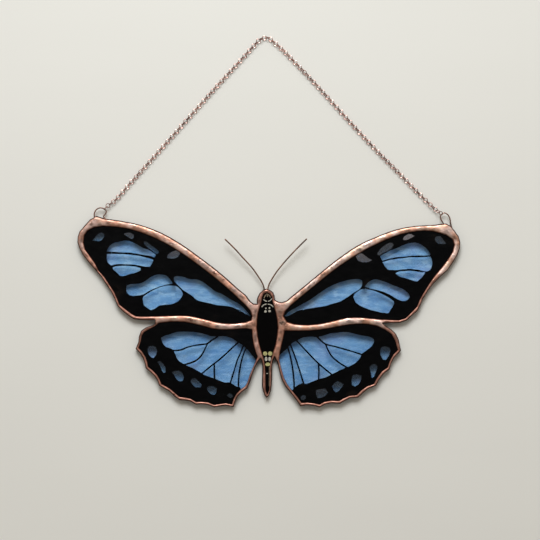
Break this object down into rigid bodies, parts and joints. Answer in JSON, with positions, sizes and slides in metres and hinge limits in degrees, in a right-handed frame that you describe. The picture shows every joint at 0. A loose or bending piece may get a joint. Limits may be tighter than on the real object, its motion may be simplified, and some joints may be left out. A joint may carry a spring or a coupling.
{
  "type": "stained-glass butterfly suncatcher",
  "caption": "Flat butterfly of painted blue and black glass panes held in copper-coloured solder, with wire antennae, wire loops and a fine hanging chain.",
  "frame": {"origin": "middle of the butterfly without its chain, on the surface that it lies on", "axes": "+X to the right and +Y towards the head as seen from the front, +Z out of the front"},
  "size_m": [0.2103, 0.2049, 0.0066],
  "materials": {
    "wing_glass": "streaky translucent blue, black paint fired on the front",
    "body_glass": "opaque glossy black with small cream painted marks",
    "solder": "copper patina, hand soldered, softly polished",
    "wire": "dark copper wire",
    "chain": "copper plated"
  },
  "bodies": {
    "root": {"forewing_left_glass": "wing_glass", "forewing_right_glass": "wing_glass", "hindwing_left_glass": "wing_glass", "hindwing_right_glass": "wing_glass", "body_glass": "body_glass", "solder_frame": "solder", "antenna_left": "wire", "antenna_right": "wire", "hanging_loop_left": "wire", "hanging_loop_right": "wire", "hanging_chain": "chain"}
  },
  "joints": []
}
